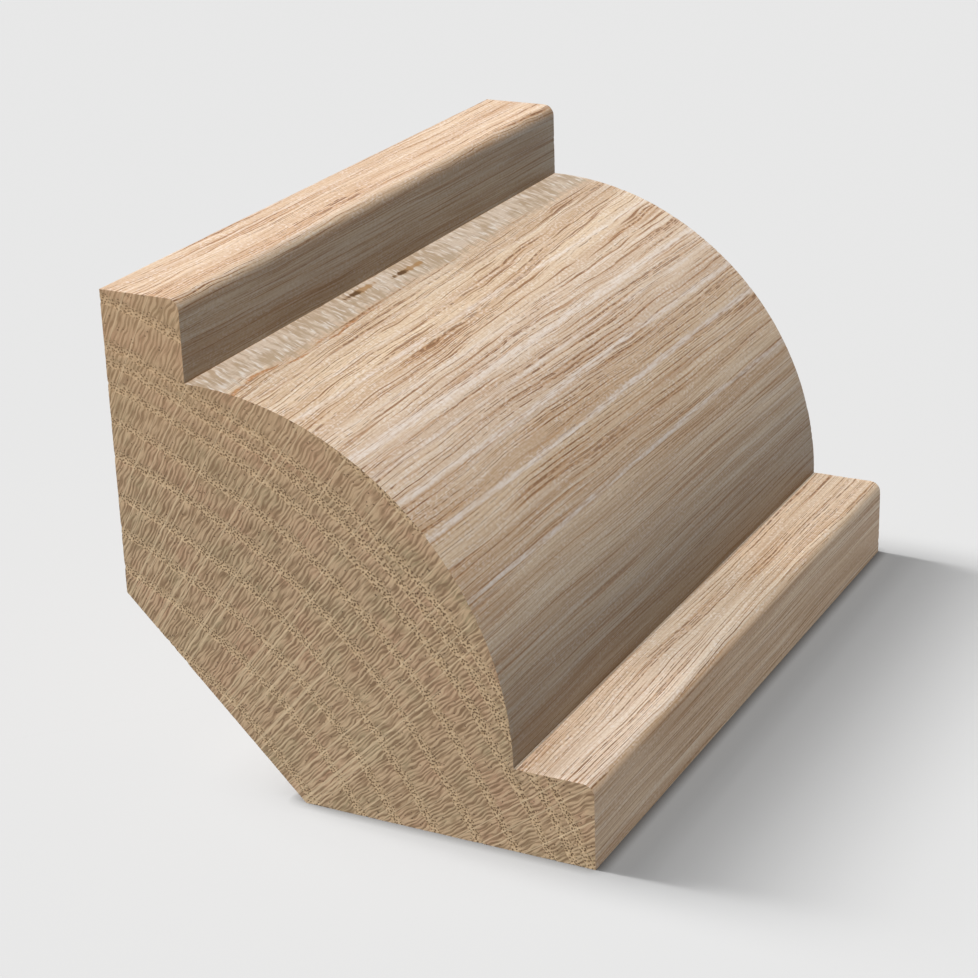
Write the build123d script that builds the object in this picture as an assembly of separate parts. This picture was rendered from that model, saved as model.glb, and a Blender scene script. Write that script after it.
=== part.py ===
"""Ovolo moulding: one short length of solid oak with the same section from end to end.

The section stands on its seat face, with its wall face upright at low X:
- two square-edged flanges, one up the wall face and one along the seat face,
- a quarter-round ovolo between them, whose crown and toe each stop at a quirk,
  the square step down from the flange's edge to the round,
- a chamfer across the heel, so that the corner stays clear of a rough wall joint,
- a small rounding on the one free arris of each flange.

Sizes are in millimetres. +Z is up, +Y runs along the grain, and the origin is
at the middle of the length, under the middle of the section's width.
"""
import os

from build123d import *

# Driving dimensions
leg = 63.0            # over each mounting face, heel corner to flange edge
length = 100.0        # cut length along the grain
flange = 11.0         # thickness of both flanges
quirk = 10.3          # square step between a flange's edge and the ovolo
heel_chamfer = 24.0   # cut back along each mounting face
arris_radius = 1.5    # rounding on the free arris of each flange


def ovolo_radius():
    """The round fills what the flange and the quirk leave of the leg."""
    return leg - flange - quirk


def section():
    """The closed outline on the XZ plane, with the heel corner at the origin."""
    round_end = flange + ovolo_radius()
    with BuildSketch(Plane.XZ) as outline:
        with BuildLine():
            Line((heel_chamfer, 0), (leg, 0))
            Line((leg, 0), (leg, flange))
            Line((leg, flange), (round_end, flange))
            CenterArc((flange, flange), ovolo_radius(), 0, 90)
            Line((flange, round_end), (flange, leg))
            Line((flange, leg), (0, leg))
            Line((0, leg), (0, heel_chamfer))
            Line((0, heel_chamfer), (heel_chamfer, 0))
        make_face()
        free_arrises = [
            corner
            for corner in outline.vertices()
            if is_at(corner, leg, flange) or is_at(corner, flange, leg)
        ]
        fillet(free_arrises, radius=arris_radius)
    return outline.sketch


def is_at(corner, across, up, reach=1e-3):
    """True if a corner lies at this place in the section's own plane."""
    return abs(corner.X - across) < reach and abs(corner.Y - up) < reach


def moulding():
    """The section run along Y, half each way, and centred over the origin."""
    run = extrude(section(), amount=length / 2, both=True)
    return Pos(-leg / 2, 0, 0) * run


def main():
    os.makedirs("parts", exist_ok=True)
    export_step(moulding(), "parts/ovolo_moulding.step")


main()
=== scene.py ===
"""An ovolo moulding in solid oak, on a pale studio floor.

The moulding is one dense mesh with the section of its CAD solid. The oak is made of
procedural fields. On the cut ends they are rings about a pith beside the stock, with
pores, flames and rays. On the planed faces they are lines, pores and pale streaks that
follow the distance round the section. The nodes that colour the wood also press its
pores and grain into the mesh. Places in the wood are in millimetres, and all other
lengths are in metres.
"""

import math

import bpy
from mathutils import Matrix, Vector
from mathutils.geometry import delaunay_2d_cdt


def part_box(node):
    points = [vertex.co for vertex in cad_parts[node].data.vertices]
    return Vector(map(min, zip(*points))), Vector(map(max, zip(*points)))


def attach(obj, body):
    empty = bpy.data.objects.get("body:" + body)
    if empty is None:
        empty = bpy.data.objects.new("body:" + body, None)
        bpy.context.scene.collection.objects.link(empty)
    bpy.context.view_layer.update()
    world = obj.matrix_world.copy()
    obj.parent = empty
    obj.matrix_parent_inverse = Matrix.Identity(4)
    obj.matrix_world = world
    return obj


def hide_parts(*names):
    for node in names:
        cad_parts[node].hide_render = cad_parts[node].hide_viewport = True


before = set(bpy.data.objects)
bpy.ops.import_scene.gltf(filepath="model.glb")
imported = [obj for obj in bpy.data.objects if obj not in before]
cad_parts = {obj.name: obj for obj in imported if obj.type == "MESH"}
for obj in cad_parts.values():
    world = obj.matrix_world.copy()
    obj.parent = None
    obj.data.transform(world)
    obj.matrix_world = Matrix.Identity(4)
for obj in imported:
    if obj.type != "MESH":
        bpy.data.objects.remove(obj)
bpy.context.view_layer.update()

NODE = "ovolo_moulding"
LOW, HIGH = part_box(NODE)
MM = 0.001

# The section, as the CAD has it
LEG = HIGH.z - LOW.z
LENGTH = HIGH.y - LOW.y
FLANGE = 11.0 * MM
QUIRK = 10.3 * MM
HEEL_CHAMFER = 24.0 * MM
ARRIS_RADIUS = 1.5 * MM
OVOLO_RADIUS = LEG - FLANGE - QUIRK
ROUND_END = FLANGE + OVOLO_RADIUS

# What the mesh notes for the oak: the cut ends, and the distance round the section
END_MARK = "cut_end"
GIRTH_MARK = "girth"

# The flat layout of the mesh's faces, in millimetres
SHEET = "OFBake"
SHEET_GAP = 1.0

# How finely the mesh is divided, and how far the ends' net stays off their rim
CROSS_PITCH = 0.26 * MM
ALONG_PITCH = 1.5 * MM
END_PITCH = 0.46 * MM
ROW_SHARE = math.sqrt(3) / 2
RIM_MARGIN = 0.6 * END_PITCH
NET_TOLERANCE = 1e-9

# The corners of a face on the sides
QUAD = 4

# How far off a plane or off the round a place may lie and still belong to it, in millimetres
PLANE_REACH = 0.35
ROUND_REACH = 0.3

# The tree: where its pith ran, how it leant against the stock's length, and where its rays meet
PITH_X = -56.3
PITH_Z = -35.7
PITH_LEAN_X = 0.012
PITH_LEAN_Z = -0.008
MEAN_RADIUS = 80.0
RAYS_FROM_X = -92.5
RAYS_FROM_Z = -80.3
RAYS_RADIUS = 140.0

# The rings' edges as distances from the pith, and the depth of the pore band past each edge
RING_EDGES = (56.0, 61.2, 66.9, 71.3, 75.7, 80.8, 85.2, 89.6, 92.4, 94.3, 99.7, 105.0, 110.0)
RING_WIDTH_TOP = 10
EARLYWOOD = 1.2

# The rings' wander: size across the tree and along it in millimetres, detail and reach
RING_WANDERS = ((26, 70, 1.0, 1.0), (3.2, 22, 2.0, 0.3))

# The cut ends' large pores: their cells, and the chance of one in a cell outside and inside the band
PORE_CELL_OUT = 0.34
PORE_CELL_AROUND = 0.30
PORE_EVENNESS = 0.95
LATE_PORES = 0.03
EARLY_PORES = 0.88

# The cut ends' flames: their spacing as an angle, their share, and how far each ring shifts them
FLAME_TURN = 2 * math.pi / 0.47
FLAME_WAVE = 0.16
RING_SHIFT = 17.3

# Flat noise on the cut ends: size outwards and around in millimetres, and detail
BAND_RAGS = (1.2, 1.1, 1.0)
FLAME_SWAY = (1.9, 1.3, 0.5)
FLAME_FLICKER = (2.4, 0.33, 1.0)
FLAME_RIPPLE = (1.4, 0.16, 1.0)
END_STAINS = {
    "patch": (2.6, 6.0, 2.0),
    "warm": (5, 7, 3.0),
    "speck": (0.13, 0.13, 1.0),
}

# The broad rays: size around and outwards in millimetres, and detail
RAYS = (0.34, 45, 0.0)

# How far the grain near the crown leans towards it, for each millimetre of length
GRAIN_LEAN = 0.045

# How the grain bends on upright faces: its wobble in millimetres, and its share of the drift
UPRIGHT_WOBBLE = 0.06
UPRIGHT_DRIFT = 0.45

# Flat noise on the planed faces: size round the section and along it in millimetres, and detail
GRAIN_SWAY = (12, 42, 1.5)
GRAIN_WOBBLE = (2.4, 7.5, 1.0)
STREAK_BREAKS = (0.7, 7, 2.5)
STREAK_MOTTLE = (0.45, 2.2, 2.0)
HAZE_DRIFT = (6, 10, 1.5)
HAZE_CURL = (2.2, 2.8, 1.0)
SPECKS = (0.34, 0.60, 2.0)
SPECK_CLUMPS = (1.8, 4.5, 1.0)

# Noise drawn out along the grain: size across and along in millimetres, detail and seed
GRAINS = {
    "crowd": (1.9, 40, 0.0, 11.0),
    "lines": (0.26, 34, 0.7, 23.0),
    "breaks": (0.6, 1.3, 1.0, 37.0),
    "bold": (0.36, 26, 1.0, 83.0),
    "thread": (0.18, 24, 0.5, 5.0),
    "string": (0.16, 44, 0.0, 31.0),
    "gaps": (0.7, 2.2, 1.0, 41.0),
    "fibre": (0.17, 14, 2.0, 61.0),
    "broad": (1.9, 110, 2.5, 67.0),
    "streak": (0.9, 70, 1.5, 71.0),
}
GRAIN_ROUGHNESS = 0.55
SEED_SLANT = 0.7

# How much sooner a dash starts in the pore band, as a level of its noise
EARLY_DASHES = 0.01

# The share of each kind of line that is lost on upright faces, and near the crown
LINES_LOST = {
    "line": (0.15, 0.30),
    "bold": (0.0, 0.0),
    "core": (0.60, 0.0),
    "thread": (-0.30, 0.35),
    "dash": (0.80, 0.20),
    "margin": (0.50, 0.40),
}
LOST_IN_HAZE = 0.9
LOST_IN_PALE = 0.65

# Pale streaks on the round, as shares of its arc from the crown: middle, half width and strength
ROUND_STREAKS = (
    (0.138, 0.008, 0.40), (0.182, 0.008, 0.40), (0.228, 0.010, 0.60), (0.302, 0.010, 0.50),
    (0.356, 0.013, 1.00), (0.404, 0.009, 0.60), (0.470, 0.010, 1.00), (0.548, 0.009, 1.00),
    (0.677, 0.008, 0.80), (0.732, 0.006, 0.30),
)

# The hazy fleck beside the crown's quirk: its wisps and their glints as flat noise, and its seam
WISP_LEAN = 0.47
WISPS = (4.0, 0.9, 2.0)
GLINTS = (2.6, 0.55, 1.0)
GLINT_SEED = (9.0, 4.0, 0.0)
SEAM_SHARE = 0.097

# Brown marks in the haze: place along the length, share of the arc, half sizes
CROWN_MARKS = ((-11.0, 0.022, 5.0, 0.012), (-0.5, 0.040, 5.0, 0.010))

# Pale flecks on other faces and on upright ones, and the painted sheen, a highlight painted as paler
# wood, on the ledge and on its free side
FLECK_STRENGTHS = (0.50, 0.25)
LEDGE_SHEENS = (0.35, 2.1)
SHEEN_SHARE = 0.38
LEDGE_MIDDLE = -2

# How far noise swings a value either way
SWINGS = {
    "band": 0.4,
    "flame": 1.0,
    "streak": 0.009,
    "curl": 0.30,
    "haze_wisps": 0.025,
    "haze_drift": 0.02,
    "seam": 0.03,
    "wisps": 0.30,
    "marks": 0.6,
    "wobble": 1.0,
    "drift": 1.1,
    "crowd": 0.04,
}

# Smooth steps: where each starts and ends, and its values there, which are 0 and 1 if not given
STEPS = {
    # the cut ends, by depth in a ring, distance in a pore's cell, level of noise, and height
    "band_start": (-0.05, 0.15),
    "band_end": (EARLYWOOD + 0.4, EARLYWOOD - 0.4),
    "early": (EARLYWOOD + 0.5, EARLYWOOD - 0.5),
    "flame_sway": (0.4, 3.5, 0.12, 0.36),
    "pore": (0.39, 0.17),
    "wall": (0.34, 0.60),
    "flame": (0.50, 0.70),
    "hollow": (0.54, 0.34),
    "ray": (0.72, 0.80, 0.0, 0.50),
    "faint_ray": (0.65, 0.75, 0.0, 0.30),
    "high": (30, 62),
    # the planed faces, by share of the round's arc
    "past_crown": (0.0, 0.002),
    "by_crown": (0.50, 0.28),
    "lean": (0.42, 0.16),
    "restless": (0.42, 0.15, 0.16, 0.32),
    "upright_toe": (0.45, 0.80),
    "toe_cast": (0.55, 1.0),
    "round_sheen": (0.16, 0.05),
    "haze": (0.100, 0.068),
    "seam": (0.0055, 0.0015),
    # by distance or place in millimetres
    "below_arris": (LEG / MM - 0.2, LEG / MM - 2.2),
    "shoulder_along": (LOW.y / MM, HIGH.y / MM, 0.80, 1.0),
    "free_side": (21, 29),
    "ledge_near": (15, -35),
    "ledge_middle": (24, 8),
    "seam_near": (-8, -22, 0.1, 1.0),
    # by distance from a mark's middle, in its own half sizes
    "mark": (1.15, 0.35),
    "burnt": (0.35, -0.35),
    # by level of noise
    "line": (0.59, 0.69),
    "core": (0.67, 0.74),
    "breaks": (0.40, 0.54),
    "bold": (0.61, 0.70),
    "thread": (0.52, 0.68),
    "gaps": (0.42, 0.54),
    "dash": (0.70, 0.75),
    "margin": (0.60, 0.70),
    "fleck": (0.50, 0.62),
    "clump": (0.38, 0.62, 0.35, 1.0),
    "streak_breaks": (0.28, 0.52, 0.45, 1.0),
    "streak_mottle": (0.30, 0.60, 0.45, 1.0),
    "pale": (0.10, 0.62),
    "seam_breaks": (0.36, 0.54, 0.10, 1.0),
    "wisps": (0.36, 0.66),
    "shine": (0.54, 0.74),
}

# How far the grain is pressed in, in millimetres
PORE_DEPTH = 0.12
BAND_DEPTH = 0.03
FLAME_DEPTH = 0.02
DASH_DEPTH = 0.03
LINE_DEPTH = 0.03
FIBRE_DEPTH = 0.02
FIBRE_LEVELS = (0.3, 0.7)

# The cut ends' ground: its field, the field's edges and two colours
END_GROUND = ("patch", (0.35, 0.65), (196, 164, 128), (212, 180, 144))

# The coats of colour over it: each one's field, the field's edges, the coat's strength and colour
END_COATS = (
    ("warm", (0.50, 0.68), 0.60, (188, 172, 134)),
    ("warm", (0.50, 0.32), 0.60, (216, 170, 138)),
    ("hollow", None, 0.82, (152, 121, 90)),
    ("ripple", (0.45, 0.65), 0.30, (228, 194, 158)),
    ("flame", None, 0.66, (244, 212, 172)),
    ("band", None, 0.60, (222, 188, 144)),
    ("wall", None, 0.65, (250, 220, 180)),
    ("pore", None, 0.85, (98, 73, 54)),
    ("speck", (0.3, 0.7), 0.12, (130, 104, 80)),
    ("ray", None, 0.85, (255, 228, 188)),
    ("high", None, 0.26, (240, 194, 146)),
)

# The planed faces' ground, and the coats under the haze
LONG_GROUND = ("broad", (0.36, 0.64), (219, 189, 157), (239, 215, 185))
UNDER_COATS = (
    ("streak", (0.54, 0.70), 0.60, (244, 227, 206)),
    ("fibre", (0.42, 0.70), 0.32, (184, 148, 110)),
    ("early", None, 0.10, (190, 150, 108)),
    ("pale", None, 0.74, (254, 243, 234)),
    # the painted sheen: a highlight painted as paler wood on the round and the ledge
    ("sheen", None, 0.30, (252, 236, 220)),
)

# The haze's own colours, and how much of the ground it hides
HAZE_GROUND = ("wisps", None, (192, 169, 142), (227, 211, 193))
HAZE_COATS = (("shine", None, 0.75, (252, 246, 240)),)
HAZE_STRENGTH = 0.88

# The planed faces' coats over the haze, from pale flecks to dark pores
OVER_COATS = (
    ("seam", None, 0.85, (196, 132, 70)),
    ("fleck", None, 1.0, (253, 241, 232)),
    ("speck", (0.47, 0.36), 0.15, (190, 150, 112)),
    ("thread", None, 0.28, (176, 134, 94)),
    ("margin", None, 0.38, (194, 140, 88)),
    ("line", None, 0.60, (178, 124, 72)),
    ("bold", None, 0.62, (182, 124, 66)),
    ("bold", (0.75, 1.0), 0.55, (112, 70, 34)),
    ("core", None, 0.70, (118, 76, 38)),
    ("marks", (0.05, 0.9), 0.80, (178, 134, 80)),
    ("burnt", (0.35, 0.9), 0.92, (88, 58, 26)),
    ("dash", None, 0.78, (114, 72, 36)),
)

# Colours that darken the planed faces in places and keep their grain: painted shade on the round's
# toe and on the crown's upright shoulder, and a slightly darker top face and ledge middle
SHADES_AND_CASTS = {
    # painted shade on the round's toe, which faces away from the light
    "toe": (201, 210, 220),
    "top": (247, 244, 244),
    "dull": (238, 241, 243),
    # painted shade on the upright shoulder in the corner of the crown's quirk
    "shoulder": (194, 204, 214),
}

# The wood's surface
GLOSS = 0.35
LONG_ROUGHNESS = (0.50, 0.62)
LONG_BUMP = 0.2
END_ROUGHNESS = (0.72, 0.85)
END_BUMP = 0.5


# The section's outline
def arc(centre, radius, start, end):
    """Points on an arc in the section's plane, a cross pitch apart, with both ends."""
    steps = max(2, round(radius * abs(end - start) / CROSS_PITCH))
    angles = [start + (end - start) * step / steps for step in range(steps + 1)]
    return [
        (centre[0] + radius * math.cos(angle), centre[1] + radius * math.sin(angle))
        for angle in angles
    ]


def line(start, end):
    """Points on a straight run, a cross pitch apart, with both ends."""
    steps = max(2, round(math.dist(start, end) / CROSS_PITCH))
    return [
        tuple(a + (b - a) * step / steps for a, b in zip(start, end))
        for step in range(steps + 1)
    ]


def outline():
    """The section's points, anticlockwise from the heel, and which of them are sharp."""
    eased = LEG - ARRIS_RADIUS
    inner = FLANGE - ARRIS_RADIUS
    quarter = math.pi / 2
    runs = [
        line((HEEL_CHAMFER, 0), (LEG, 0)),
        line((LEG, 0), (LEG, inner)),
        arc((eased, inner), ARRIS_RADIUS, 0, quarter),
        line((eased, FLANGE), (ROUND_END, FLANGE)),
        arc((FLANGE, FLANGE), OVOLO_RADIUS, 0, quarter),
        line((FLANGE, ROUND_END), (FLANGE, eased)),
        arc((inner, eased), ARRIS_RADIUS, 0, quarter),
        line((inner, LEG), (0, LEG)),
        line((0, LEG), (0, HEEL_CHAMFER)),
        line((0, HEEL_CHAMFER), (HEEL_CHAMFER, 0)),
    ]
    # an eased arris flows into its neighbours, and every other run starts at a sharp corner
    smooth_starts = (2, 3, 6, 7)
    points, sharp = [], []
    for number, run in enumerate(runs):
        if number not in smooth_starts:
            sharp.append(len(points))
        points += run[:-1]
    return points, set(sharp)


def end_net(points):
    """Places and triangles that fill the section. The outline's points come first."""
    rows = int(LEG / (END_PITCH * ROW_SHARE))
    columns = int(LEG / END_PITCH)
    fill = []
    for row in range(1, rows + 1):
        z = row * END_PITCH * ROW_SHARE
        shift = END_PITCH / 2 * (row % 2)
        for column in range(columns + 1):
            x = column * END_PITCH + shift
            if depth_inside(x, z) > RIM_MARGIN:
                fill.append((x, z))
    count = len(points)
    rim = [(i, (i + 1) % count) for i in range(count)]
    flat = [Vector(p) for p in points + fill]
    places, _, faces, _, _, _ = delaunay_2d_cdt(flat, rim, [], 1, NET_TOLERANCE)
    return places, faces


def depth_inside(x, z):
    """How far inside the section a place lies, below zero outside it."""
    chamfer = (x + z - HEEL_CHAMFER) / math.sqrt(2)
    square = min(x, z, LEG - x, LEG - z, chamfer)
    if x > FLANGE and z > FLANGE:
        reach = OVOLO_RADIUS - math.hypot(x - FLANGE, z - FLANGE)
        return min(square, reach)
    if z > ROUND_END:
        return min(square, FLANGE - x)
    if x > ROUND_END:
        return min(square, FLANGE - z)
    return square


def moulding_mesh():
    """The moulding as one closed mesh, with its two ends filled by a fine net."""
    points, sharp = outline()
    count = len(points)
    rows = round(LENGTH / ALONG_PITCH)
    verts = [
        (x + LOW.x, LOW.y + LENGTH * row / rows, z)
        for row in range(rows + 1)
        for x, z in points
    ]
    faces = [
        (row * count + i, (row + 1) * count + i,
         (row + 1) * count + (i + 1) % count, row * count + (i + 1) % count)
        for row in range(rows)
        for i in range(count)
    ]
    places, net = end_net(points)
    for y, rim, turn in ((LOW.y, 0, 1), (HIGH.y, rows * count, -1)):
        first = len(verts) - count
        verts += [(p.x + LOW.x, y, p.y) for p in places[count:]]
        for face in net:
            ids = [rim + i if i < count else first + i for i in face]
            faces.append(tuple(ids[::turn]))
    mesh = bpy.data.meshes.new(NODE + "_wood")
    mesh.from_pydata(verts, [], faces)
    mesh.polygons.foreach_set("use_smooth", [True] * len(mesh.polygons))
    mark_sharp(mesh, count, rows, sharp)
    mark_girth(mesh, points, rows)
    return mesh


def mark_sharp(mesh, count, rows, sharp):
    """Keeps the section's corners and the cut ends' rims crisp under smooth shading."""
    last = rows * count
    side_verts = last + count
    for edge in mesh.edges:
        a, b = sorted(edge.vertices)
        if b >= side_verts:
            continue
        on_rim = (b < count or a >= last) and b - a in (1, count - 1)
        along = b - a == count and a % count in sharp
        edge.use_edge_sharp = on_rim or along


def mark_girth(mesh, points, rows):
    """Notes at each side face's corners how far round the section they lie, in millimetres."""
    steps = [math.dist(a, b) / MM for a, b in zip(points, points[1:] + points[:1])]
    reached = [sum(steps[:i]) for i in range(len(points) + 1)]
    girth = mesh.attributes.new(GIRTH_MARK, "FLOAT", "CORNER")
    values = [0.0] * len(mesh.loops)
    for face in range(rows * len(points)):
        start, end = reached[face % len(points):][:2]
        values[QUAD * face:QUAD * (face + 1)] = (start, start, end, end)
    girth.data.foreach_set("value", values)
    unfold(mesh, values, reached[-1])


def unfold(mesh, girths, girth):
    """Lays the sides out as one strip, with the two cut ends above it side by side."""
    sheet = girth + 2 * SHEET_GAP
    end_size = (sheet - 3 * SHEET_GAP) / 2
    end_scale = end_size / (LEG / MM)
    along_scale = (sheet - 3 * SHEET_GAP - end_size) / (LENGTH / MM)
    net = mesh.uv_layers.new(name=SHEET)
    for face in mesh.polygons:
        at_end = is_cut_across(face)
        first = face.normal.y < 0
        for corner in face.loop_indices:
            x, y, z = (value / MM for value in mesh.vertices[mesh.loops[corner].vertex_index].co)
            if at_end:
                inset = x - LOW.x / MM if first else HIGH.x / MM - x
                u = SHEET_GAP + inset * end_scale + (0 if first else end_size + SHEET_GAP)
                v = sheet - SHEET_GAP - end_size + z * end_scale
            else:
                u = SHEET_GAP + girths[corner]
                v = SHEET_GAP + (HIGH.y / MM - y) * along_scale
            net.data[corner].uv = (u / sheet, v / sheet)


def is_cut_across(face):
    """True for a face of the cut ends."""
    return abs(face.normal.y) > 0.5


def mark_ends(mesh):
    """Marks the cut ends' faces, and gives them the second material."""
    mark = mesh.attributes.new(END_MARK, "FLOAT", "FACE")
    cut_across = [is_cut_across(face) for face in mesh.polygons]
    mark.data.foreach_set("value", [float(across) for across in cut_across])
    mesh.polygons.foreach_set("material_index", [int(across) for across in cut_across])


# Nodes, for a material or for a relief
class Weaver:
    """Adds nodes to a tree. A value is a number or another node's output."""

    def __init__(self, tree):
        self.tree = tree

    def node(self, kind, **settings):
        """A new node with its settings."""
        made = self.tree.nodes.new(kind)
        for name, value in settings.items():
            setattr(made, name, value)
        return made

    def feed(self, socket, value):
        """Gives a socket its value."""
        if isinstance(value, bpy.types.NodeSocket):
            self.tree.links.new(value, socket)
        else:
            socket.default_value = value

    def fed(self, made, *values):
        """The first output of a node whose first sockets take these values."""
        for socket, value in zip(made.inputs, values):
            self.feed(socket, value)
        return made.outputs[0]

    def math(self, operation, *values):
        return self.fed(self.node("ShaderNodeMath", operation=operation), *values)

    def fold(self, operation, first, *others):
        """The values taken together one after another."""
        for other in others:
            first = self.math(operation, first, other)
        return first

    def add(self, *values):
        return self.fold("ADD", *values)

    def times(self, *values):
        return self.fold("MULTIPLY", *values)

    def highest(self, *values):
        return self.fold("MAXIMUM", *values)

    def remainder(self, share):
        """What a share leaves of 1."""
        return self.math("SUBTRACT", 1.0, share)

    def apart(self, value, level):
        """How far a value lies from a level, either way."""
        return self.math("ABSOLUTE", self.add(value, -level))

    def reach(self, a, b):
        """How far a place lies from the middle, from its two offsets."""
        return self.math("SQRT", self.add(self.times(a, a), self.times(b, b)))

    def split(self, vector):
        made = self.node("ShaderNodeSeparateXYZ")
        self.feed(made.inputs[0], vector)
        return made.outputs

    def join(self, x=0.0, y=0.0, z=0.0):
        return self.fed(self.node("ShaderNodeCombineXYZ"), x, y, z)

    def stretch(self, vector, x, y, z):
        made = self.node("ShaderNodeVectorMath", operation="MULTIPLY")
        return self.fed(made, vector, (x, y, z))

    def shift(self, vector, offset):
        made = self.node("ShaderNodeVectorMath", operation="ADD")
        return self.fed(made, vector, offset)

    def noise(self, vector, detail=2.0, roughness=0.5, dims="3D"):
        made = self.node("ShaderNodeTexNoise", noise_dimensions=dims)
        self.feed(made.inputs["Vector"], vector)
        self.feed(made.inputs["Scale"], 1.0)
        self.feed(made.inputs["Detail"], detail)
        self.feed(made.inputs["Roughness"], roughness)
        return made.outputs[0]

    def patches(self, flat, across, along, detail, roughness=0.5, seed=None):
        """Flat noise with its sizes in the flat place's own units."""
        drawn = self.stretch(flat, 1 / across, 1 / along, 1)
        if seed is not None:
            drawn = self.shift(drawn, seed)
        return self.noise(drawn, detail, roughness, "2D")

    def cells(self, flat, across, along, randomness):
        """Flat cells, about one for each across by along."""
        made = self.node("ShaderNodeTexVoronoi", feature="F1", voronoi_dimensions="2D")
        self.feed(made.inputs["Vector"], self.stretch(flat, 1 / across, 1 / along, 1))
        self.feed(made.inputs["Scale"], 1.0)
        self.feed(made.inputs["Randomness"], randomness)
        return made.outputs

    def rise(self, value, low, high, bottom=0.0, top=1.0):
        """A smooth step from bottom to top as value goes from low to high."""
        made = self.node("ShaderNodeMapRange", interpolation_type="SMOOTHSTEP")
        return self.fed(made, value, low, high, bottom, top)

    def scale_to(self, value, low, high, bottom=0.0, top=1.0):
        """A straight, unclamped mapping of low and high to bottom and top."""
        made = self.node("ShaderNodeMapRange", clamp=False)
        return self.fed(made, value, low, high, bottom, top)

    def step(self, name, value):
        """One of the named smooth steps."""
        return self.rise(value, *STEPS[name])

    def centred(self, value, reach):
        """A noise's 0 to 1 as minus reach to plus reach."""
        return self.scale_to(value, 0, 1, -reach, reach)

    def swing(self, name, value):
        """A noise centred over one of the named swings."""
        return self.centred(value, SWINGS[name])

    def ramp(self, value, stops, interpolation="LINEAR"):
        """A ramp through (position, level) stops."""
        made = self.node("ShaderNodeValToRGB")
        ramp = made.color_ramp
        ramp.interpolation = interpolation
        while len(ramp.elements) > 1:
            ramp.elements.remove(ramp.elements[-1])
        for number, (position, level) in enumerate(stops):
            stop = ramp.elements[0] if number == 0 else ramp.elements.new(position)
            stop.position = position
            stop.color = (level, level, level, 1.0)
        return self.fed(made, value)

    def blend(self, share, below, above, mode="MIX"):
        """Two colours mixed by a share. The node keeps its colours in sockets 6, 7 and 2."""
        made = self.node("ShaderNodeMix", data_type="RGBA", blend_type=mode)
        self.feed(made.inputs[0], share)
        self.feed(made.inputs[6], below)
        self.feed(made.inputs[7], above)
        return made.outputs[2]

    def pick(self, share, below, above):
        """Two numbers mixed by a share. The node keeps its numbers in sockets 2 and 3."""
        made = self.node("ShaderNodeMix", data_type="FLOAT")
        self.feed(made.inputs[0], share)
        self.feed(made.inputs[2], below)
        self.feed(made.inputs[3], above)
        return made.outputs[0]


# The tree that the stock was sawn from
def ring_fields(w, place):
    """Where a place lies in the tree: out from its pith, around it, across its rays, in its ring."""
    x, y, z = w.split(place)
    off_x = w.add(x, w.math("MULTIPLY_ADD", y, -PITH_LEAN_X, -PITH_X))
    off_z = w.add(z, w.math("MULTIPLY_ADD", y, -PITH_LEAN_Z, -PITH_Z))
    around = w.times(w.math("ARCTAN2", off_z, off_x), MEAN_RADIUS)
    aside = w.math("ARCTAN2", w.add(z, -RAYS_FROM_Z), w.add(x, -RAYS_FROM_X))
    grown = w.add(w.reach(off_x, off_z), ring_wander(w, place))
    ring, depth = ring_and_depth(w, grown)
    return {
        "grown": grown, "around": around, "across_rays": w.times(aside, RAYS_RADIUS),
        "ring": ring, "depth": depth,
    }


def ring_wander(w, place):
    """How far the rings stray from circles, slowly and quickly."""
    strays = [
        w.centred(w.noise(w.stretch(place, 1 / across, 1 / along, 1 / across), detail), reach)
        for across, along, detail, reach in RING_WANDERS
    ]
    return w.add(*strays)


def ring_and_depth(w, grown):
    """The number of the ring that a place lies in, and how far past the ring's edge it lies."""
    first, last = RING_EDGES[0], RING_EDGES[-1]
    spans = len(RING_EDGES) - 1
    share = w.scale_to(grown, first, last)
    places = [(edge - first) / (last - first) for edge in RING_EDGES]
    ring = w.times(w.ramp(share, [(at, i / spans) for i, at in enumerate(places)]), spans)
    widths = [b - a for a, b in zip(RING_EDGES, RING_EDGES[1:])]
    stops = [(at, width / RING_WIDTH_TOP) for at, width in zip(places, widths)]
    width = w.times(w.ramp(share, stops, "CONSTANT"), RING_WIDTH_TOP)
    return ring, w.times(w.math("FRACT", ring), width)


# The cut ends
def pore_band(w, flat, depth):
    """The band of large pores at the start of each ring, its pores and their pale walls."""
    band = w.times(w.step("band_start", depth), w.step("band_end", depth))
    cells = w.cells(flat, PORE_CELL_OUT, PORE_CELL_AROUND, PORE_EVENNESS)
    chance = w.split(cells["Color"])[0]
    there = w.math("LESS_THAN", chance, w.pick(band, LATE_PORES, EARLY_PORES))
    return {
        "band": band,
        "pore": w.times(w.step("pore", cells["Distance"]), there),
        "wall": w.times(w.step("wall", cells["Distance"]), band),
    }


def flames(w, rings, depth):
    """Light flames between the bands, straight near the pores and wavy further out."""
    grown = rings["grown"]
    fresh = w.times(w.math("FLOOR", rings["ring"]), RING_SHIFT)
    moved = w.add(rings["across_rays"], fresh)
    sway = w.swing("flame", w.patches(w.join(grown, moved), *FLAME_SWAY))
    swayed = w.add(moved, w.times(sway, w.step("flame_sway", depth)))
    drawn = w.join(grown, swayed)
    wave = w.math("SINE", w.times(swayed, FLAME_TURN))
    flicker = w.patches(drawn, *FLAME_FLICKER)
    level = w.add(w.times(wave, FLAME_WAVE), flicker)
    return {
        "flame": w.step("flame", level),
        "hollow": w.step("hollow", level),
        "ripple": w.patches(drawn, *FLAME_RIPPLE),
    }


def broad_rays(w, rings):
    """Broad rays, straight across the rings."""
    level = w.patches(w.join(rings["across_rays"], rings["grown"]), *RAYS)
    return w.add(w.step("ray", level), w.step("faint_ray", level))


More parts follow.
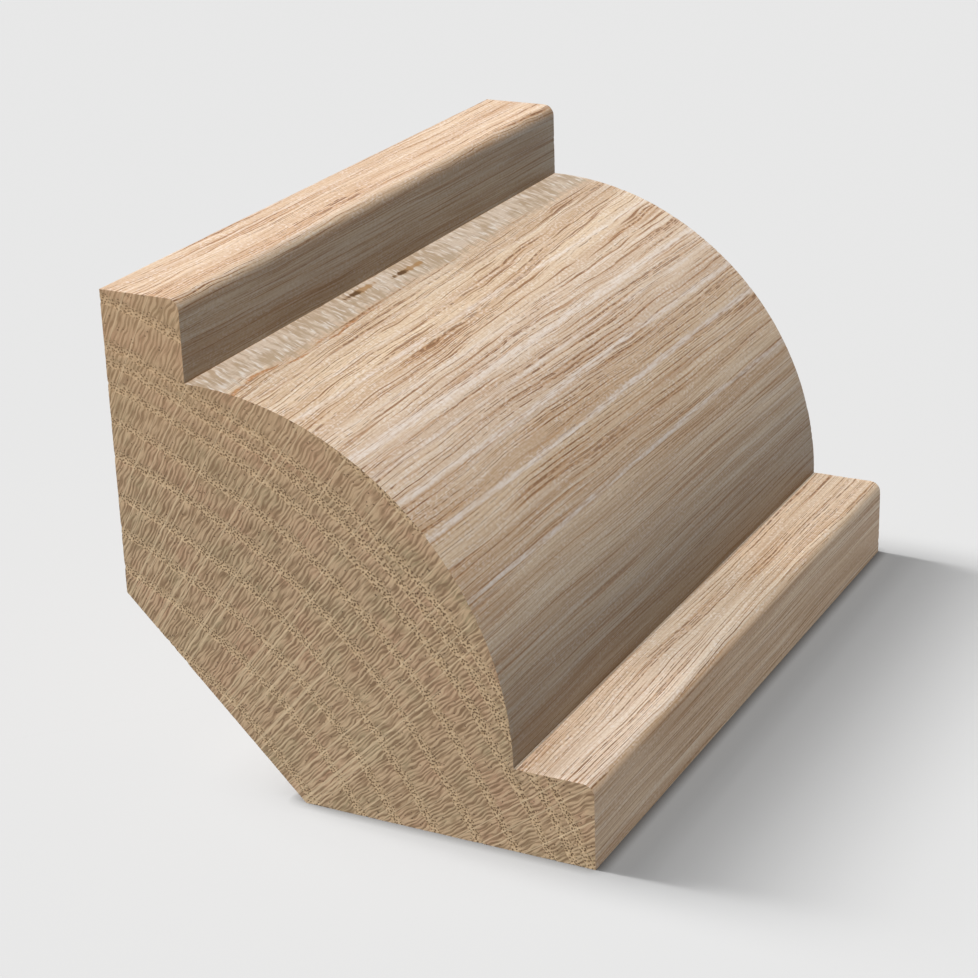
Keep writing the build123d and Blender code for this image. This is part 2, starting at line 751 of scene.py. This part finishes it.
def end_grain(w, place, _girth, rings):
    """The cut ends: pore bands, flames between them, broad rays and stains."""
    flat = w.join(rings["grown"], rings["around"])
    depth = w.add(rings["depth"], w.swing("band", w.patches(flat, *BAND_RAGS)))
    fields = pore_band(w, flat, depth) | flames(w, rings, depth)
    for name, sizes in END_STAINS.items():
        fields[name] = w.patches(flat, *sizes)
    fields["ray"] = broad_rays(w, rings)
    fields["high"] = w.step("high", w.split(place)[2])
    return fields


# Parts of the section that the oak knows
def round_share(w, place):
    """The share of the round's arc from crown to toe, and 1 where a place is on the round."""
    x, _, z = w.split(place)
    axis = FLANGE / MM
    off_x = w.add(x, -(LOW.x / MM + axis))
    off_z = w.add(z, -axis)
    share = w.times(w.math("ARCTAN2", off_x, off_z), 2 / math.pi)
    on_round = w.math("COMPARE", w.reach(off_x, off_z), OVOLO_RADIUS / MM, ROUND_REACH)
    return share, w.times(on_round, w.step("past_crown", share))


def quirk_side(w, place):
    """1 on the upright shoulder of the crown's quirk, and a little less near the first end."""
    x, y, z = w.split(place)
    on_shoulder = w.math("COMPARE", x, (LOW.x + FLANGE) / MM, PLANE_REACH)
    high = w.math("GREATER_THAN", z, ROUND_END / MM)
    return w.times(on_shoulder, high, w.step("below_arris", z), w.step("shoulder_along", y))


def upright_faces(w, place, share, on_round):
    """1 on the faces that stand upright: the shoulder, the round's toe and the outer edge."""
    outer = w.math("COMPARE", w.split(place)[0], HIGH.x / MM, PLANE_REACH)
    toe = w.times(w.step("upright_toe", share), on_round)
    return w.highest(outer, toe, quirk_side(w, place))


def lower_ledge(w, z, on_round):
    """1 on the top of the lower flange, between the round's toe and the free arris."""
    level = w.math("COMPARE", z, FLANGE / MM, PLANE_REACH)
    return w.times(level, w.math("LESS_THAN", on_round, 0.5))


def sheen(w, place, share, on_round):
    """Painted sheen, paler wood where light falls: high on the round, and on the ledge's free side
    near the first end.
    """
    x, y, z = w.split(place)
    round_sheen = w.times(w.step("round_sheen", w.apart(share, SHEEN_SHARE)), on_round)
    free_side = w.times(w.step("free_side", x), w.step("ledge_near", y))
    ledge = w.times(lower_ledge(w, z, on_round), w.scale_to(free_side, 0, 1, *LEDGE_SHEENS))
    return w.highest(round_sheen, ledge)


def shade_and_cast_fields(w, place, share, on_round):
    """Where the planed faces are darker: painted shade on the toe and the shoulder, and the top and
    the ledge's middle.
    """
    _, y, z = w.split(place)
    middle = w.step("ledge_middle", w.apart(y, LEDGE_MIDDLE))
    return {
        # painted shade, growing towards the round's toe
        "toe": w.times(w.step("toe_cast", share), on_round),
        "top": w.math("COMPARE", z, LEG / MM, PLANE_REACH),
        "dull": w.times(lower_ledge(w, z, on_round), middle),
        # painted shade in the corner of the crown's quirk
        "shoulder": quirk_side(w, place),
    }


# The planed faces
def streak_stops():
    """The round's pale streaks as the stops of a ramp."""
    stops = [(0.0, 0.0)]
    for middle, half, strength in ROUND_STREAKS:
        stops += [(middle - half, 0.0), (middle, strength), (middle + half, 0.0)]
    return stops


def pale_streaks(w, skin, share, sway, broken):
    """The round's pale streaks, bent with the grain, broken and mottled."""
    bent_share = w.add(share, w.swing("streak", sway))
    pale = w.times(w.ramp(bent_share, streak_stops()), w.step("streak_breaks", broken))
    mottle = w.patches(skin, *STREAK_MOTTLE)
    return w.times(w.step("pale", pale), w.step("streak_mottle", mottle))


def haze_fields(w, skin, share, broken):
    """The hazy fleck beside the crown's quirk, its slanted wisps and shine, and its golden seam."""
    girth, y, _ = w.split(skin)
    drifting = w.patches(skin, *HAZE_DRIFT)
    curl = w.swing("curl", w.patches(skin, *HAZE_CURL))
    slanted = w.join(girth, w.add(y, w.times(girth, -WISP_LEAN), curl))
    strokes = w.patches(slanted, *WISPS)
    glint = w.patches(slanted, *GLINTS, seed=GLINT_SEED)
    edge = w.add(w.swing("haze_wisps", strokes), w.swing("haze_drift", drifting))
    seam_share = w.add(share, w.swing("seam", drifting))
    seam = w.step("seam", w.apart(seam_share, SEAM_SHARE))
    fields = {
        "haze": w.step("haze", w.add(share, edge)),
        "wisps": w.step("wisps", w.add(strokes, w.swing("wisps", drifting))),
        "shine": w.step("shine", glint),
        "seam": w.times(seam, w.step("seam_breaks", broken), w.step("seam_near", y)),
    }
    return fields | mark_fields(w, y, share, strokes)


def mark_fields(w, y, share, strokes):
    """Two brown marks in the haze, and their burnt ends towards the first end."""
    marks, burnt = 0.0, 0.0
    ragged = w.swing("marks", strokes)
    for along, middle, half_length, half_share in CROWN_MARKS:
        far_y = w.times(w.add(y, -along), 1 / half_length)
        far_share = w.times(w.add(share, -middle), 1 / half_share)
        mark = w.step("mark", w.add(w.reach(far_y, far_share), ragged))
        marks = w.highest(marks, mark)
        burnt = w.highest(burnt, w.times(mark, w.step("burnt", far_y)))
    return {"marks": marks, "burnt": burnt}


def round_fields(w, skin, share, on_round, sway):
    """What the round alone has: pale streaks, and a hazy fleck beside the crown's quirk."""
    broken = w.patches(skin, *STREAK_BREAKS)
    fields = haze_fields(w, skin, share, broken)
    fields["pale"] = pale_streaks(w, skin, share, sway, broken)
    for name in ("pale", "haze", "seam", "marks", "burnt"):
        fields[name] = w.times(fields[name], on_round)
    return fields


def bent_skin(w, skin, share, on_round, upright, sway):
    """The skin's places, bent so that lines drawn on them lean, drift and wobble."""
    girth, y, _ = w.split(skin)
    lean = w.times(w.times(y, -GRAIN_LEAN), w.times(w.step("lean", share), on_round))
    restless = w.pick(upright, w.step("restless", share), UPRIGHT_WOBBLE)
    wobble = w.times(w.swing("wobble", w.patches(skin, *GRAIN_WOBBLE)), restless)
    drift = w.times(w.swing("drift", sway), w.pick(upright, 1.0, UPRIGHT_DRIFT))
    return w.join(w.add(girth, lean, w.add(drift, wobble)), y)


def line_fields(w, bent, early, by_crown):
    """Every kind of line on the planed faces, and the noise under them."""
    grain = {
        name: w.patches(bent, across, along, detail, GRAIN_ROUGHNESS, (seed, seed * SEED_SLANT, 0))
        for name, (across, along, detail, seed) in GRAINS.items()
    }
    crowd = w.swing("crowd", grain["crowd"])
    lines = w.add(grain["lines"], crowd)
    string = w.add(grain["string"], crowd)
    dash = w.step("dash", w.add(string, w.times(early, EARLY_DASHES)))
    return {
        "line": w.step("line", lines),
        "core": w.times(w.step("core", lines), w.step("breaks", grain["breaks"])),
        "bold": w.times(w.step("bold", grain["bold"]), by_crown),
        "thread": w.step("thread", grain["thread"]),
        "dash": w.times(dash, w.step("gaps", grain["gaps"])),
        "margin": w.step("margin", string),
        "fibre": grain["fibre"],
        "broad": grain["broad"],
        "streak": grain["streak"],
    }


def fade_lines(w, fields, upright, by_crown):
    """Fades the lines in the haze, in the pale streaks, on upright faces and near the crown."""
    faded = w.highest(w.times(fields["haze"], LOST_IN_HAZE), w.times(fields["pale"], LOST_IN_PALE))
    clear = w.remainder(faded)
    for name, (lost_upright, lost_by_crown) in LINES_LOST.items():
        lost = w.add(w.times(upright, lost_upright), w.times(by_crown, lost_by_crown))
        fields[name] = w.times(fields[name], clear, w.remainder(lost))


def fleck_fields(w, skin, upright, haze):
    """Fine specks, and the pale flecks that gather in clumps outside the haze."""
    speck = w.patches(skin, *SPECKS)
    clumped = w.step("clump", w.patches(skin, *SPECK_CLUMPS))
    strength = w.times(w.pick(upright, *FLECK_STRENGTHS), clumped, w.remainder(haze))
    return {"speck": speck, "fleck": w.times(w.step("fleck", speck), strength)}


def long_grain(w, place, girth, rings):
    """The planed faces: lines, pores and pale streaks that run the length, and bend a little."""
    skin = w.join(girth, w.split(place)[1])
    share, on_round = round_share(w, place)
    upright = upright_faces(w, place, share, on_round)
    sway = w.patches(skin, *GRAIN_SWAY)
    bent = bent_skin(w, skin, share, on_round, upright, sway)
    early = w.step("early", rings["depth"])
    by_crown = w.times(w.step("by_crown", share), on_round)
    fields = line_fields(w, bent, early, by_crown)
    fields |= round_fields(w, skin, share, on_round, sway)
    fade_lines(w, fields, upright, by_crown)
    fields |= fleck_fields(w, skin, upright, fields["haze"])
    fields |= shade_and_cast_fields(w, place, share, on_round)
    return fields | {"early": early, "sheen": sheen(w, place, share, on_round)}


# The pressed grain
def end_height(w, end):
    """Height of the cut ends' surface in millimetres, never above the solid's."""
    pressed = w.times(end["pore"], -PORE_DEPTH)
    low_band = w.times(end["band"], -BAND_DEPTH)
    ridges = w.scale_to(end["flame"], 0, 1, -FLAME_DEPTH, 0.0)
    return w.add(pressed, low_band, ridges)


def long_height(w, long):
    """Height of the planed faces' surface in millimetres, never above the solid's."""
    pressed = w.times(long["dash"], -DASH_DEPTH)
    low_line = w.times(long["line"], -LINE_DEPTH)
    ridges = w.scale_to(long["fibre"], *FIBRE_LEVELS, -FIBRE_DEPTH, 0.0)
    return w.math("MINIMUM", w.add(pressed, low_line, ridges), 0.0)


# The colours
def srgb(red, green, blue):
    """A colour written in 0 to 255 display values, as the linear colour that nodes take."""
    def linear(value):
        share = value / 255
        return share / 12.92 if share <= 0.04045 else ((share + 0.055) / 1.055) ** 2.4
    return (linear(red), linear(green), linear(blue), 1.0)


def grounded(w, fields, ground):
    """A ground of two colours. Without edges, its field itself mixes them."""
    name, edges, below, above = ground
    share = w.rise(fields[name], *edges) if edges else fields[name]
    return w.blend(share, srgb(*below), srgb(*above))


def coated(w, ground, fields, coats):
    """A ground under coats of colour. A coat without edges is as strong as its field."""
    for name, edges, strength, colour in coats:
        if edges:
            share = w.rise(fields[name], *edges, 0.0, strength)
        else:
            share = w.times(fields[name], strength)
        ground = w.blend(share, ground, srgb(*colour))
    return ground


def end_colour(w, end):
    """The cut ends' colour."""
    return coated(w, grounded(w, end, END_GROUND), end, END_COATS)


def long_colour(w, long):
    """The planed faces' colour."""
    ground = coated(w, grounded(w, long, LONG_GROUND), long, UNDER_COATS)
    haze = coated(w, grounded(w, long, HAZE_GROUND), long, HAZE_COATS)
    ground = w.blend(w.times(long["haze"], HAZE_STRENGTH), ground, haze)
    ground = coated(w, ground, long, OVER_COATS)
    # painted shade on the toe and shoulder, and a darker top and ledge middle, multiplied in
    for name, colour in SHADES_AND_CASTS.items():
        ground = w.blend(long[name], ground, srgb(*colour), "MULTIPLY")
    return ground


# The materials
def wood(name, cut_fields, make_colour, make_height, make_roughness, bump_strength):
    """A wood material from one way of cutting the tree."""
    material = bpy.data.materials.new(name)
    material.use_nodes = True
    tree = material.node_tree
    tree.nodes.clear()
    w = Weaver(tree)
    place = in_millimetres(w, w.node("ShaderNodeTexCoord").outputs["Object"])
    girth = w.node("ShaderNodeAttribute", attribute_name=GIRTH_MARK).outputs["Fac"]
    fields = cut_fields(w, place, girth, ring_fields(w, place))
    shader = w.node("ShaderNodeBsdfPrincipled")
    w.feed(shader.inputs["Base Color"], make_colour(w, fields))
    w.feed(shader.inputs["Roughness"], make_roughness(w, fields))
    w.feed(shader.inputs["Specular IOR Level"], GLOSS)
    bump = w.node("ShaderNodeBump")
    w.feed(bump.inputs["Strength"], bump_strength)
    w.feed(bump.inputs["Distance"], MM)
    w.feed(bump.inputs["Height"], make_height(w, fields))
    w.feed(shader.inputs["Normal"], bump.outputs[0])
    w.feed(w.node("ShaderNodeOutputMaterial").inputs["Surface"], shader.outputs[0])
    return material


def in_millimetres(w, place):
    """A place in metres as one in millimetres."""
    return w.stretch(place, 1 / MM, 1 / MM, 1 / MM)


def long_wood():
    """Oak cut along the grain."""
    def roughness(w, fields):
        return w.rise(fields["fibre"], *FIBRE_LEVELS, *LONG_ROUGHNESS)
    return wood("oak_long_grain", long_grain, long_colour, long_height, roughness, LONG_BUMP)


def end_wood():
    """Oak cut across the grain."""
    def roughness(w, fields):
        return w.pick(fields["pore"], *END_ROUGHNESS)
    return wood("oak_end_grain", end_grain, end_colour, end_height, roughness, END_BUMP)


# The relief
def named_value(w, name):
    """A number that the mesh carries, in a relief."""
    mark = w.node("GeometryNodeInputNamedAttribute", data_type="FLOAT")
    w.feed(mark.inputs["Name"], name)
    return mark.outputs["Attribute"]


def relief_height(w):
    """The pressed grain's height in metres, at each point of the mesh."""
    place = in_millimetres(w, w.node("GeometryNodeInputPosition").outputs[0])
    rings = ring_fields(w, place)
    girth = named_value(w, GIRTH_MARK)
    long = long_height(w, long_grain(w, place, girth, rings))
    end = end_height(w, end_grain(w, place, girth, rings))
    return w.times(w.pick(named_value(w, END_MARK), long, end), MM)


def press_relief(piece):
    """Presses the grain into the piece's mesh with the fields that colour it."""
    tree = bpy.data.node_groups.new("oak_relief", "GeometryNodeTree")
    tree.interface.new_socket("Geometry", in_out="INPUT", socket_type="NodeSocketGeometry")
    tree.interface.new_socket("Geometry", in_out="OUTPUT", socket_type="NodeSocketGeometry")
    w = Weaver(tree)
    push = w.node("ShaderNodeVectorMath", operation="SCALE")
    w.feed(push.inputs[0], w.node("GeometryNodeInputNormal").outputs[0])
    w.feed(push.inputs["Scale"], relief_height(w))
    move = w.node("GeometryNodeSetPosition")
    w.feed(move.inputs["Geometry"], w.node("NodeGroupInput").outputs[0])
    w.feed(move.inputs["Offset"], push.outputs[0])
    w.feed(w.node("NodeGroupOutput").inputs[0], move.outputs[0])
    modifier = piece.modifiers.new("relief", "NODES")
    modifier.node_group = tree
    settled = piece.evaluated_get(bpy.context.evaluated_depsgraph_get())
    pressed = bpy.data.meshes.new_from_object(settled)
    piece.modifiers.clear()
    piece.data = pressed
    bpy.data.node_groups.remove(tree)


def moulding():
    """The moulding itself, in the CAD solid's place."""
    mesh = moulding_mesh()
    mark_ends(mesh)
    piece = bpy.data.objects.new("moulding", mesh)
    bpy.context.scene.collection.objects.link(piece)
    piece.data.materials.append(long_wood())
    piece.data.materials.append(end_wood())
    press_relief(piece)
    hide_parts(NODE)
    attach(piece, "root")
    return piece


# The floor: its size, its paint, the light it gives back, and the shade right under the piece
FLOOR_SIZE = 30.0
FLOOR_GREY = 0.20
FLOOR_LIFT = 0.262
FLOOR_BOUNCE = 0.69
CONTACT_REACH = 1.8 * MM
CONTACT_DEPTH = 2.2
CONTACT_SAMPLES = 8

# The light from all round, and the pale background
SKY_STRENGTH = 0.04
PALE = 0.806

# The tall soft strip on the wall side: each lamp's rise and width in degrees, and share of the light
KEY_TURN = 180
KEY_STRIP = (
    (36, 10, 0.162), (40, 10, 0.254), (44, 10, 0.177),
    (48, 10, 0.16), (52, 12, 0.08), (58, 24, 0.122),
)

# How strongly the strip lights the piece, and the floor by lamps of its own
KEY_ON_PIECE = 0.6
KEY_ON_FLOOR = 0.8 / FLOOR_GREY

# The soft lamp high in front of the piece
TOP_LAMP = 0.81
TOP_TURN = 247
TOP_RISE = 75
TOP_WIDTH = 12

# The camera, fitted to the photograph's frame
CAMERA_TURN = math.radians(27.732)
CAMERA_RISE = math.radians(22.176)
CAMERA_ROLL = math.radians(-1.884)
CAMERA_DISTANCE = 315.0882 * MM
CAMERA_AIM = Vector((3.7611, -20.6231, 32.1993)) * MM
FOCAL_PIXELS = 2516.33
FRAME_PIXELS = 978
SENSOR = 36.0
CLIP_NEAR = 0.01
CLIP_FAR = 100


def seen_directly(w):
    """1 where the camera, or a shiny or clear surface, looks at a thing."""
    path = w.node("ShaderNodeLightPath").outputs
    mirrored = w.highest(path["Is Glossy Ray"], path["Is Transmission Ray"])
    return w.highest(path["Is Camera Ray"], mirrored)


def floor_paint():
    """A plain pale floor, which lights the piece from below as evenly as a wide lit floor."""
    material = bpy.data.materials.new("floor_paint")
    material.use_nodes = True
    material.cycles.emission_sampling = "NONE"
    tree = material.node_tree
    tree.nodes.clear()
    w = Weaver(tree)
    # Painted contact shade: ambient occlusion dims the floor's glow right under the piece
    contact = w.node("ShaderNodeAmbientOcclusion", samples=CONTACT_SAMPLES)
    w.feed(contact.inputs["Distance"], CONTACT_REACH)
    open_share = w.math("POWER", contact.outputs["AO"], CONTACT_DEPTH)
    paint = w.node("ShaderNodeBsdfDiffuse")
    w.feed(paint.inputs["Color"], (FLOOR_GREY, FLOOR_GREY, FLOOR_GREY, 1))
    lift = w.node("ShaderNodeEmission")
    w.feed(lift.inputs["Strength"], w.times(open_share, FLOOR_LIFT))
    shown = w.fed(w.node("ShaderNodeAddShader"), paint.outputs[0], lift.outputs[0])
    bounce = w.node("ShaderNodeEmission")
    w.feed(bounce.inputs["Strength"], FLOOR_BOUNCE)
    either = w.fed(w.node("ShaderNodeMixShader"), seen_directly(w), bounce.outputs[0], shown)
    w.feed(w.node("ShaderNodeOutputMaterial").inputs["Surface"], either)
    return material


def floor():
    """The floor under the piece."""
    mesh = bpy.data.meshes.new("floor")
    half = FLOOR_SIZE / 2
    corners = [(-half, -half, 0), (half, -half, 0), (half, half, 0), (-half, half, 0)]
    mesh.from_pydata(corners, [], [(0, 1, 2, 3)])
    piece = bpy.data.objects.new("floor", mesh)
    bpy.context.scene.collection.objects.link(piece)
    mesh.materials.append(floor_paint())
    return piece


def sky():
    """A faint even light from all round, and a pale background."""
    world = bpy.data.worlds.new("sky")
    bpy.context.scene.world = world
    world.use_nodes = True
    w = Weaver(world.node_tree)
    back = world.node_tree.nodes["Background"]
    w.feed(back.inputs["Color"], (1, 1, 1, 1))
    w.feed(back.inputs["Strength"], w.pick(seen_directly(w), SKY_STRENGTH, PALE))


def outwards(turn, rise):
    """The direction at a turn about the upright and a rise above the floor, both in radians."""
    return Vector((
        math.cos(rise) * math.cos(turn),
        math.cos(rise) * math.sin(turn),
        math.sin(rise),
    ))


def lamp(name, turn, rise, width, strength, lit, shadow=True):
    """A distant soft lamp. Strength 1 square on to a surface shows its colour as written."""
    light = bpy.data.lights.new(name, "SUN")
    light.energy = strength * math.pi
    light.angle = math.radians(width)
    light.use_shadow = shadow
    holder = bpy.data.objects.new(name, light)
    bpy.context.scene.collection.objects.link(holder)
    towards = outwards(math.radians(turn), math.radians(rise))
    holder.rotation_euler = towards.to_track_quat("Z", "Y").to_euler()
    lit_only = bpy.data.collections.new(name + "_lights")
    lit_only.objects.link(lit)
    holder.light_linking.receiver_collection = lit_only


def lamps(piece, ground):
    """The strip, and the top lamp without its shadow, which would darken both quirks' corners."""
    for rise, width, share in KEY_STRIP:
        name = "strip_%d" % rise
        lamp(name + "_piece", KEY_TURN, rise, width, share * KEY_ON_PIECE, piece)
        lamp(name + "_floor", KEY_TURN, rise, width, share * KEY_ON_FLOOR, ground)
    lamp("top", TOP_TURN, TOP_RISE, TOP_WIDTH, TOP_LAMP, piece, shadow=False)


def camera():
    """The camera at the photograph's viewing angle."""
    back = outwards(CAMERA_TURN - math.pi / 2, CAMERA_RISE)
    level = Vector((0, 0, 1)).cross(back).normalized()
    up = back.cross(level)
    right = level * math.cos(CAMERA_ROLL) + up * math.sin(CAMERA_ROLL)
    top = up * math.cos(CAMERA_ROLL) - level * math.sin(CAMERA_ROLL)
    lens = bpy.data.cameras.new("camera")
    lens.sensor_width = SENSOR
    lens.lens = SENSOR * FOCAL_PIXELS / FRAME_PIXELS
    lens.clip_start = CLIP_NEAR
    lens.clip_end = CLIP_FAR
    holder = bpy.data.objects.new("camera", lens)
    bpy.context.scene.collection.objects.link(holder)
    columns = (right, top, back)
    for axis in range(3):
        for row in range(3):
            holder.matrix_world[row][axis] = columns[axis][row]
    holder.matrix_world.translation = CAMERA_AIM + back * CAMERA_DISTANCE
    bpy.context.scene.camera = holder


lamps(moulding(), floor())
sky()
camera()
bpy.context.scene.view_settings.view_transform = "Standard"
